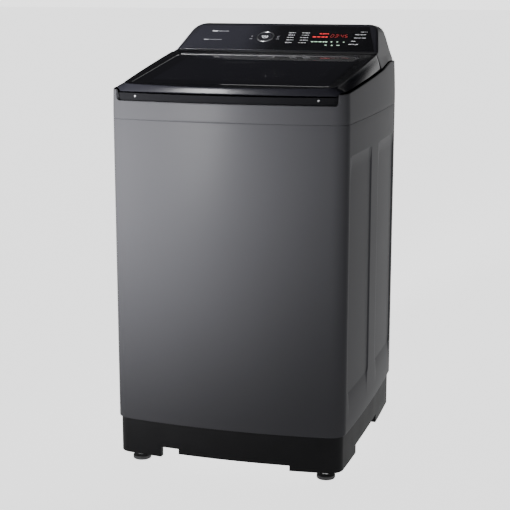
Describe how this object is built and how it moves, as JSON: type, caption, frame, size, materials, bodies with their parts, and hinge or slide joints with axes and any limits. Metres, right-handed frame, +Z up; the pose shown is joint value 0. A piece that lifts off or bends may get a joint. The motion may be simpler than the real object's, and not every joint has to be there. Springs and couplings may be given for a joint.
{
  "type": "top load washing machine",
  "caption": "Free-standing top load washing machine with a hinged glass lid, sloping rear control panel, hung tub, spinning basket, pulsator and screw feet.",
  "frame": {"origin": "on the floor under the middle of the cabinet's footprint", "axes": "+Z up, +Y to the back, +X to the right seen from the front"},
  "size_m": [0.54, 0.5699, 0.98],
  "materials": {
    "graphite_paint": "satin metallic",
    "zinc_steel": "galvanised",
    "screw_steel": "plated",
    "base_plastic": "fine texture",
    "rubber": "matte",
    "lid_gloss": "gloss",
    "lid_glass": "tinted",
    "trim": "bright",
    "console_plastic": "satin",
    "panel_film": "gloss film",
    "display": "gloss",
    "circuit_board": "satin",
    "valve_white": "satin",
    "basket_steel": "bright",
    "shaft_steel": "ground",
    "cast_metal": "as cast",
    "pulsator_grey": "satin",
    "motor_core": "satin"
  },
  "bodies": {
    "cabinet": {"cabinet_shell": "graphite_paint", "rear_panel": "zinc_steel", "rear_screws": "screw_steel", "base_frame": "base_plastic", "top_cover": "graphite_paint", "inner_frame": "base_plastic", "front_caps": "trim", "hinge_posts": "base_plastic", "console_housing": "console_plastic", "control_panel": "panel_film", "start_ring": "trim", "display_window": "display", "control_board": "circuit_board", "inlet_valve": "valve_white", "cord_gland": "rubber", "pressure_switch": "base_plastic", "lid_lock": "base_plastic", "dispenser_box": "base_plastic", "corner_brackets": "zinc_steel", "rod_seats": "base_plastic", "suspension_rods": "screw_steel", "suspension_springs": "shaft_steel", "drain_outlet": "base_plastic"},
    "lid": {"lid_frame": "lid_gloss", "lid_glass": "lid_glass", "lid_inner_frame": "lid_gloss", "lid_trim_bar": "trim", "lid_hinge_pins": "screw_steel"},
    "drawer": {"detergent_drawer": "valve_white"},
    "tub": {"outer_tub": "valve_white", "tub_cover": "valve_white", "suspension_cups": "base_plastic", "drive_housing": "cast_metal", "upper_bearing": "shaft_steel", "lower_bearing": "shaft_steel", "tub_seal": "rubber", "stator": "motor_core", "drain_pump": "base_plastic"},
    "basket": {"wash_basket": "basket_steel", "balance_ring": "valve_white", "basket_hub": "cast_metal", "spin_tube": "shaft_steel"},
    "filter": {"lint_filter": "valve_white"},
    "pulsator": {"pulsator": "pulsator_grey", "pulsator_cap": "pulsator_grey", "pulsator_screw": "screw_steel", "pulsator_shaft": "shaft_steel", "rotor": "motor_core", "rotor_nut": "screw_steel"},
    "lock_bolt": {"lid_lock_bolt": "screw_steel"},
    "start_button": {"start_button": "console_plastic"},
    "power_key": {"power_key": "console_plastic"},
    "hold_key": {"hold_key": "console_plastic"},
    "foot_front_left": {"foot_front_left": "rubber"},
    "foot_front_right": {"foot_front_right": "rubber"},
    "foot_rear_left": {"foot_rear_left": "rubber"},
    "foot_rear_right": {"foot_rear_right": "rubber"}
  },
  "joints": [
    {"name": "lid_hinge", "type": "hinge", "parent": "cabinet", "child": "lid", "pos_m": [0, 0.0855, 0.9061], "axis": [-1, 0, 0], "range_deg": [0, 85]},
    {"name": "drawer_slide", "type": "slide", "parent": "cabinet", "child": "drawer", "axis": [0, -1, 0], "range_m": [0, 0.09]},
    {"name": "tub_bounce", "type": "slide", "parent": "cabinet", "child": "tub", "axis": [0, 0, 1], "range_m": [-0.02, 0.015], "stiffness_N_per_m": 30000, "springref_m": 0.0111, "deforming": ["suspension_springs"]},
    {"name": "basket_spin", "type": "hinge", "parent": "tub", "child": "basket", "pos_m": [0, -0.012, 0.4], "axis": [0, 0, 1], "continuous": true},
    {"name": "pulsator_spin", "type": "hinge", "parent": "tub", "child": "pulsator", "pos_m": [0, -0.012, 0.25], "axis": [0, 0, 1], "continuous": true},
    {"name": "filter_pull", "type": "slide", "parent": "basket", "child": "filter", "axis": [-1, 0, 0], "range_m": [0, 0.03]},
    {"name": "lock_bolt_slide", "type": "slide", "parent": "cabinet", "child": "lock_bolt", "axis": [0, -1, 0], "range_m": [0, 0.008]},
    {"name": "start_button_press", "type": "slide", "parent": "cabinet", "child": "start_button", "axis": [0, 0.5171, -0.8559], "range_m": [0, 0.0015], "stiffness_N_per_m": 600, "springref_m": -0.0003},
    {"name": "power_key_press", "type": "slide", "parent": "cabinet", "child": "power_key", "axis": [0, 0.5171, -0.8559], "range_m": [0, 0.0015], "stiffness_N_per_m": 600, "springref_m": -0.0003},
    {"name": "hold_key_press", "type": "slide", "parent": "cabinet", "child": "hold_key", "axis": [0, 0.5171, -0.8559], "range_m": [0, 0.0015], "stiffness_N_per_m": 600, "springref_m": -0.0003},
    {"name": "foot_front_left_screw", "type": "slide", "parent": "cabinet", "child": "foot_front_left", "axis": [0, 0, -1], "range_m": [0, 0.012]},
    {"name": "foot_front_right_screw", "type": "slide", "parent": "cabinet", "child": "foot_front_right", "axis": [0, 0, -1], "range_m": [0, 0.012]},
    {"name": "foot_rear_left_screw", "type": "slide", "parent": "cabinet", "child": "foot_rear_left", "axis": [0, 0, -1], "range_m": [0, 0.012]},
    {"name": "foot_rear_right_screw", "type": "slide", "parent": "cabinet", "child": "foot_rear_right", "axis": [0, 0, -1], "range_m": [0, 0.012]}
  ]
}
